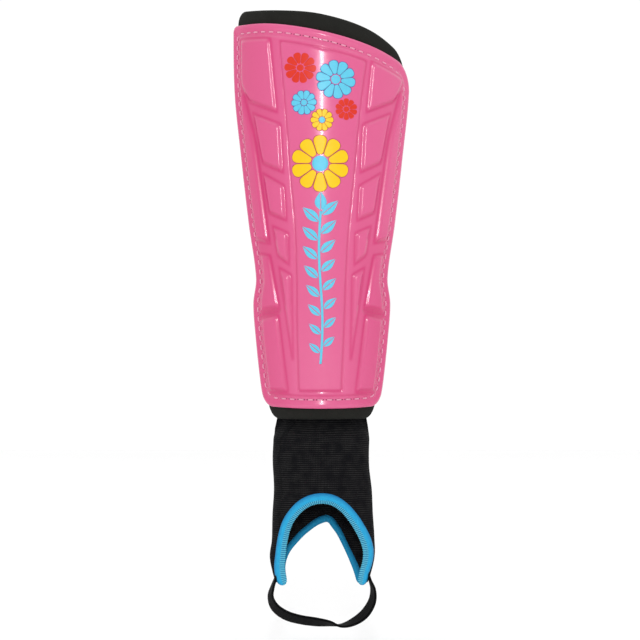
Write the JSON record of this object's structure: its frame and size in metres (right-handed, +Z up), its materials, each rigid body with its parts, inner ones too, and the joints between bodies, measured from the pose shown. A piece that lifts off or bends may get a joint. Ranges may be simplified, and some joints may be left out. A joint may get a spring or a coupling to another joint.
{
  "type": "shin guard",
  "caption": "Child's football shin guard: moulded hard shell on a foam pad, with a knitted ankle sleeve, foot stirrup and fastening calf strap.",
  "frame": {"origin": "on the lining's inner face, on the centre line, half way up the hard shell", "axes": "+Z up the leg, -Y out of the front of the shell, +X to the right as the shell is looked at from the front"},
  "size_m": [0.0963, 0.1105, 0.3384],
  "materials": {
    "shell": "gloss",
    "foam": "matte",
    "lining": "matte",
    "shell_thread": "satin",
    "black_thread": "matte",
    "webbing": "matte",
    "hook_tape": "matte",
    "loop_tape": "matte",
    "knit": "matte",
    "binding": "satin",
    "elastic": "matte"
  },
  "bodies": {
    "guard": {"hard_shell": "shell", "foam_backing": "foam", "lining": "lining", "edge_stitching": "shell_thread", "sleeve_seam_stitching": "black_thread", "calf_strap_sewn_end": "webbing", "calf_strap_stitching": "black_thread", "calf_tab_sewn_end": "webbing", "calf_tab_stitching": "black_thread"},
    "calf_strap": {"calf_strap": "webbing", "hook_tape": "hook_tape"},
    "calf_tab": {"calf_tab": "webbing", "loop_tape": "loop_tape"},
    "ankle_sleeve": {"ankle_sleeve": "knit", "front_opening_binding": "binding", "back_opening_binding": "binding", "stirrup_sewn_end_left": "elastic", "stirrup_sewn_end_right": "elastic", "tip_tack_left": "black_thread", "tip_tack_right": "black_thread"},
    "stirrup": {"stirrup_strap": "elastic"}
  },
  "joints": [
    {"name": "calf_strap_opens", "type": "hinge", "parent": "guard", "child": "calf_strap", "pos_m": [-0.03918, 0.02591, 0.055], "axis": [0, 0, 1], "range_deg": [0, 80]},
    {"name": "calf_tab_folds", "type": "hinge", "parent": "guard", "child": "calf_tab", "pos_m": [0.03918, 0.02591, 0.055], "axis": [0, 0, 1], "range_deg": [0, 30]},
    {"name": "sleeve_flex", "type": "hinge", "parent": "guard", "child": "ankle_sleeve", "pos_m": [0, -0.0024, -0.1116], "axis": [1, 0, 0], "range_deg": [-60, 20]},
    {"name": "stirrup_swing", "type": "hinge", "parent": "ankle_sleeve", "child": "stirrup", "pos_m": [0, -0.0018, -0.201], "axis": [1, 0, 0], "range_deg": [-45, 45]}
  ]
}
